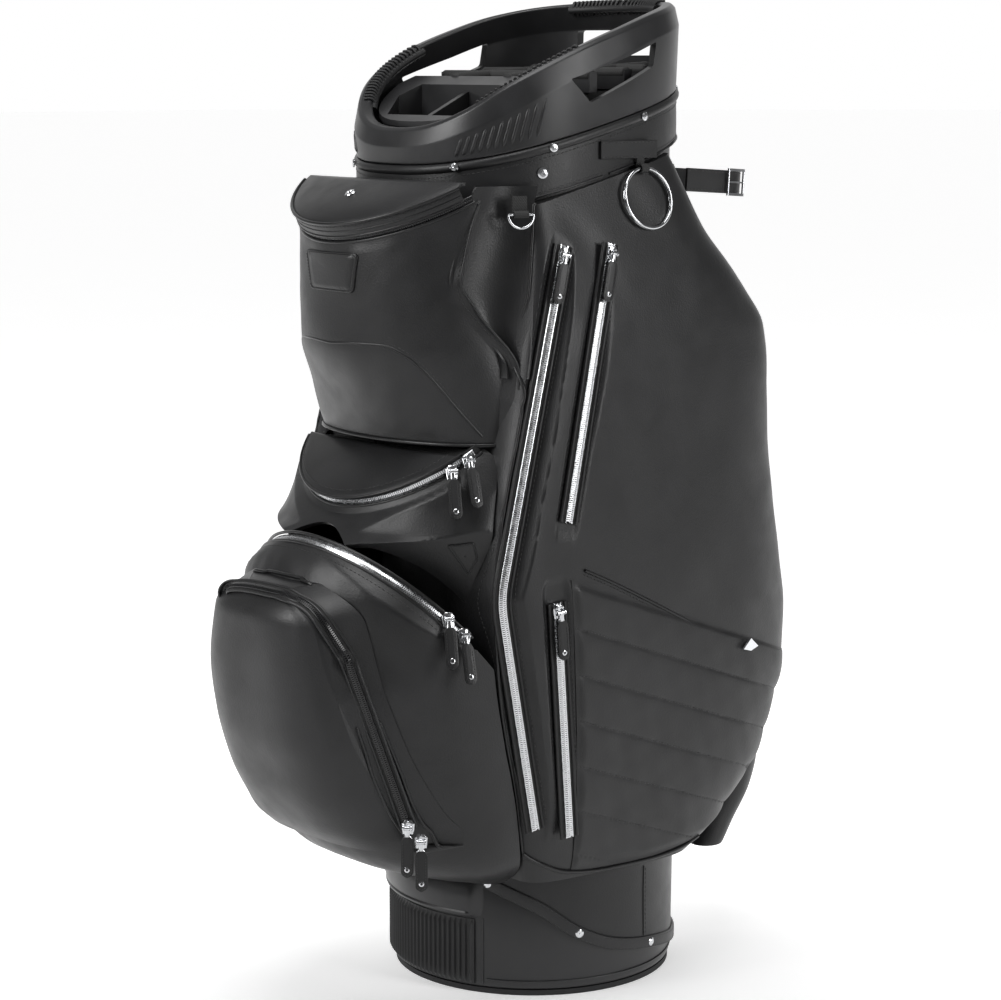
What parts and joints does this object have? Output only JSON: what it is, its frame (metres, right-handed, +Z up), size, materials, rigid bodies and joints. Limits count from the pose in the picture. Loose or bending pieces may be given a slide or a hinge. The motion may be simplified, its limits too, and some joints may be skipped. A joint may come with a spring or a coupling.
{
  "type": "golf cart bag",
  "caption": "Golf cart bag with a moulded base and handled top cuff, divided club slots, cooler and zipped pockets, towel ring, umbrella holder and shoulder strap.",
  "frame": {"origin": "middle of the base on the floor", "axes": "+Z up the bag, -Y towards the front pockets, +X towards the side with three zips"},
  "size_m": [0.3444, 0.593, 0.9164],
  "materials": {
    "moulded_plastic": "satin, lightly grained black moulding",
    "sole_rubber": "matt",
    "leatherette": "soft black leatherette with a satin sheen",
    "quilted_leatherette": "padded satin leatherette",
    "piping": "satin, stitched",
    "divider_fabric": "matt woven lining",
    "stay_plastic": "matt",
    "zip_tape": "black woven tape with black coil",
    "zip_chain": "bright silvery zip teeth",
    "chrome": "polished",
    "pull_leather": "satin black tab"
  },
  "bodies": {
    "bag": {"base_cup": "moulded_plastic", "base_grip_panel": "moulded_plastic", "base_sole": "sole_rubber", "base_skirt": "leatherette", "base_trim": "piping", "rivets": "chrome", "body_shell": "leatherette", "stays": "stay_plastic", "divider_top": "moulded_plastic", "divider_bars": "moulded_plastic", "divider_panels": "divider_fabric", "cuff": "moulded_plastic", "cuff_grips": "moulded_plastic", "collar_band": "leatherette", "collar_piping": "piping", "snap_sockets": "chrome", "cooler_pocket": "leatherette", "cooler_zip": "zip_tape", "label_patch": "quilted_leatherette", "cooler_wings": "leatherette", "accessory_pocket": "leatherette", "accessory_zip": "zip_chain", "ball_pocket": "leatherette", "ball_zip": "zip_chain", "front_pocket": "leatherette", "front_zip": "zip_tape", "parked_sliders": "chrome", "side_pocket_right": "leatherette", "side_pocket_left": "leatherette", "quilt_panels": "quilted_leatherette", "side_zips": "zip_chain", "webbing_tabs": "pull_leather", "umbrella_strap": "leatherette", "umbrella_sleeve": "leatherette", "strap_hardware": "chrome", "emblem": "chrome"},
    "cooler_lid": {"cooler_lid": "leatherette"},
    "accessory_lid": {"accessory_lid": "leatherette"},
    "accessory_slider": {"accessory_slider": "chrome"},
    "ball_slider": {"ball_slider": "chrome"},
    "front_slider": {"front_slider": "chrome"},
    "long_slider_right": {"long_slider_right": "chrome"},
    "upper_slider": {"upper_slider": "chrome"},
    "lower_slider": {"lower_slider": "chrome"},
    "long_slider_left": {"long_slider_left": "chrome"},
    "accessory_pull": {"accessory_pull": "pull_leather"},
    "accessory_pull_b": {"accessory_pull_b": "pull_leather"},
    "ball_pull": {"ball_pull": "pull_leather"},
    "ball_pull_b": {"ball_pull_b": "pull_leather"},
    "front_pull": {"front_pull": "pull_leather"},
    "front_pull_b": {"front_pull_b": "pull_leather"},
    "long_pull_right": {"long_pull_right": "pull_leather"},
    "upper_pull": {"upper_pull": "pull_leather"},
    "lower_pull": {"lower_pull": "pull_leather"},
    "long_pull_left": {"long_pull_left": "pull_leather"},
    "towel_ring": {"towel_ring": "chrome"},
    "d_ring": {"d_ring": "chrome"},
    "umbrella_buckle": {"umbrella_buckle": "chrome"},
    "shoulder_strap": {"shoulder_strap": "leatherette"}
  },
  "joints": [
    {"name": "cooler_lid_hinge", "type": "hinge", "parent": "bag", "child": "cooler_lid", "pos_m": [0, -0.171, 0.757], "axis": [-1, 0, 0], "range_deg": [0, 80]},
    {"name": "accessory_lid_hinge", "type": "hinge", "parent": "bag", "child": "accessory_lid", "pos_m": [0, -0.171, 0.52], "axis": [-1, 0, 0], "range_deg": [0, 12]},
    {"name": "accessory_slider_run", "type": "hinge", "parent": "bag", "child": "accessory_slider", "pos_m": [0, -0.14062, 0.54112], "axis": [0, 0.5843, -0.8115], "range_deg": [0, 108]},
    {"name": "ball_slider_run", "type": "hinge", "parent": "bag", "child": "ball_slider", "pos_m": [0, -0.17284, 0.33507], "axis": [0, -0.7338, -0.6794], "range_deg": [0, 132]},
    {"name": "front_slider_run", "type": "slide", "parent": "bag", "child": "front_slider", "axis": [-0.1375, -0.2988, 0.9443], "range_m": [0, 0.14]},
    {"name": "long_slider_right_run", "type": "slide", "parent": "bag", "child": "long_slider_right", "axis": [0.0283, -0.255, -0.9665], "range_m": [0, 0.29]},
    {"name": "upper_slider_run", "type": "slide", "parent": "bag", "child": "upper_slider", "axis": [0.0555, -0.2459, -0.9677], "range_m": [0, 0.225]},
    {"name": "lower_slider_run", "type": "slide", "parent": "bag", "child": "lower_slider", "axis": [-0.0405, 0.1079, -0.9933], "range_m": [0, 0.2]},
    {"name": "long_slider_left_run", "type": "slide", "parent": "bag", "child": "long_slider_left", "axis": [-0.0283, -0.255, -0.9665], "range_m": [0, 0.29]},
    {"name": "accessory_pull_hinge", "type": "hinge", "parent": "accessory_slider", "child": "accessory_pull", "pos_m": [0.1142, -0.19, 0.5056], "axis": [-0.5, -0.866, 0], "range_deg": [0, 110]},
    {"name": "accessory_pull_b_hinge", "type": "hinge", "parent": "bag", "child": "accessory_pull_b", "pos_m": [0.1219, -0.1763, 0.5151], "axis": [-0.342, -0.9397, 0], "range_deg": [0, 110]},
    {"name": "ball_pull_hinge", "type": "hinge", "parent": "ball_slider", "child": "ball_pull", "pos_m": [0.1388, -0.2144, 0.3805], "axis": [-0.4695, -0.8829, 0], "range_deg": [0, 110]},
    {"name": "ball_pull_b_hinge", "type": "hinge", "parent": "bag", "child": "ball_pull_b", "pos_m": [0.1458, -0.2016, 0.3658], "axis": [-0.342, -0.9397, 0], "range_deg": [0, 110]},
    {"name": "front_pull_hinge", "type": "hinge", "parent": "front_slider", "child": "front_pull", "pos_m": [0.1245, -0.251, 0.196], "axis": [-0.7431, -0.6691, 0], "range_deg": [0, 110]},
    {"name": "front_pull_b_hinge", "type": "hinge", "parent": "bag", "child": "front_pull_b", "pos_m": [0.1344, -0.2434, 0.184], "axis": [-0.5878, -0.809, 0], "range_deg": [0, 110]},
    {"name": "long_pull_right_hinge", "type": "hinge", "parent": "long_slider_right", "child": "long_pull_right", "pos_m": [0.15006, -0.09024, 0.69227], "axis": [-0.2348, -0.9416, 0.2415], "range_deg": [0, 110]},
    {"name": "upper_pull_hinge", "type": "hinge", "parent": "upper_slider", "child": "upper_pull", "pos_m": [0.15849, -0.04092, 0.69226], "axis": [-0.1015, -0.9656, 0.2395], "range_deg": [0, 110]},
    {"name": "lower_pull_hinge", "type": "hinge", "parent": "lower_slider", "child": "lower_pull", "pos_m": [0.17069, -0.1124, 0.37805], "axis": [-0.1385, -0.9852, -0.1013], "range_deg": [0, 110]},
    {"name": "long_pull_left_hinge", "type": "hinge", "parent": "long_slider_left", "child": "long_pull_left", "pos_m": [-0.15006, -0.09024, 0.69227], "axis": [-0.2348, 0.9416, -0.2415], "range_deg": [0, 110]},
    {"name": "towel_ring_hinge", "type": "hinge", "parent": "bag", "child": "towel_ring", "pos_m": [0.134, 0.016, 0.765], "axis": [0, -1, 0], "range_deg": [0, 90]},
    {"name": "d_ring_hinge", "type": "hinge", "parent": "bag", "child": "d_ring", "pos_m": [0.129, -0.125, 0.728], "axis": [-0.309, -0.9511, 0], "range_deg": [0, 90]},
    {"name": "umbrella_buckle_hinge", "type": "hinge", "parent": "bag", "child": "umbrella_buckle", "pos_m": [0.0784, 0.179, 0.7464], "axis": [0, 0.0698, 0.9976], "range_deg": [-35, 0]},
    {"name": "shoulder_strap_swing", "type": "hinge", "parent": "bag", "child": "shoulder_strap", "pos_m": [0.005, 0.135, 0.54], "axis": [0, 0, 1], "range_deg": [-15, 15]}
  ],
  "couplings": [
    {"joint": "accessory_pull_hinge", "follows": "accessory_slider_run", "ratio": 1}
  ]
}
